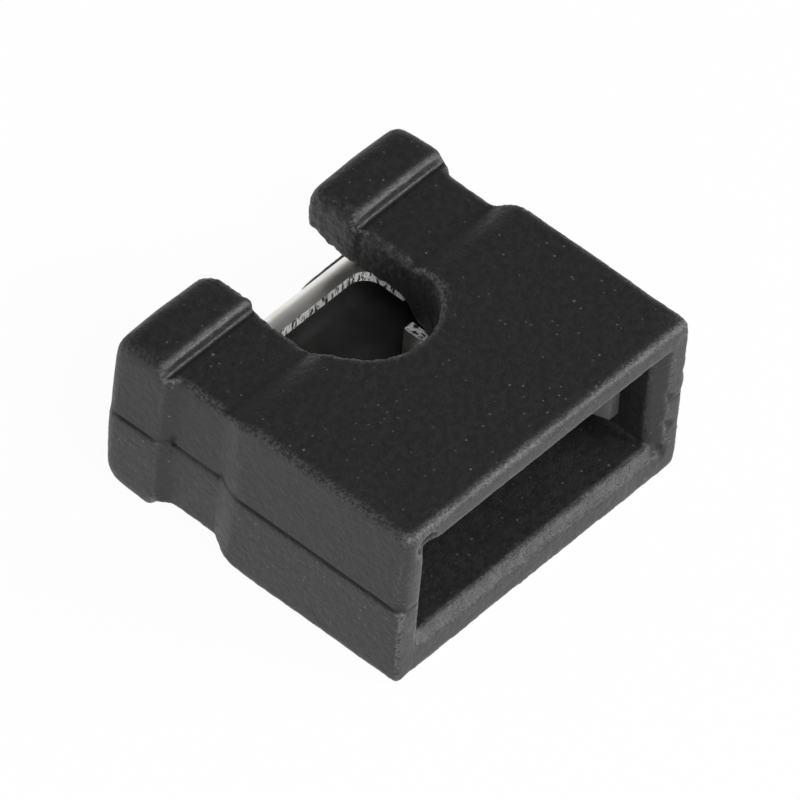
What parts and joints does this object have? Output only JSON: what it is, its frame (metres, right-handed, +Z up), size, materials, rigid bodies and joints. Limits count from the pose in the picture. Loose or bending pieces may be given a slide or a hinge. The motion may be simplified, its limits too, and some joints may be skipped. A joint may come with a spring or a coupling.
{
  "type": "jumper shunt",
  "caption": "Open-top jumper shunt: a moulded housing with horned end and test notch round one folded metal contact that bridges neighbouring header pins.",
  "frame": {"origin": "middle of the footprint of the housing, on the broad face that it rests on", "axes": "+X along the row of pins, +Y from the pin entry towards the horn tips, +Z up through the thickness"},
  "size_m": [0.005, 0.0046, 0.0025],
  "materials": {
    "housing_plastic": "matte black moulded plastic with a fine eroded grain and rubbed edges",
    "contact_metal": "bright thin plating over copper alloy strip, warm at the sheared edges"
  },
  "bodies": {
    "root": {"housing": "housing_plastic", "contact": "contact_metal"}
  },
  "joints": []
}
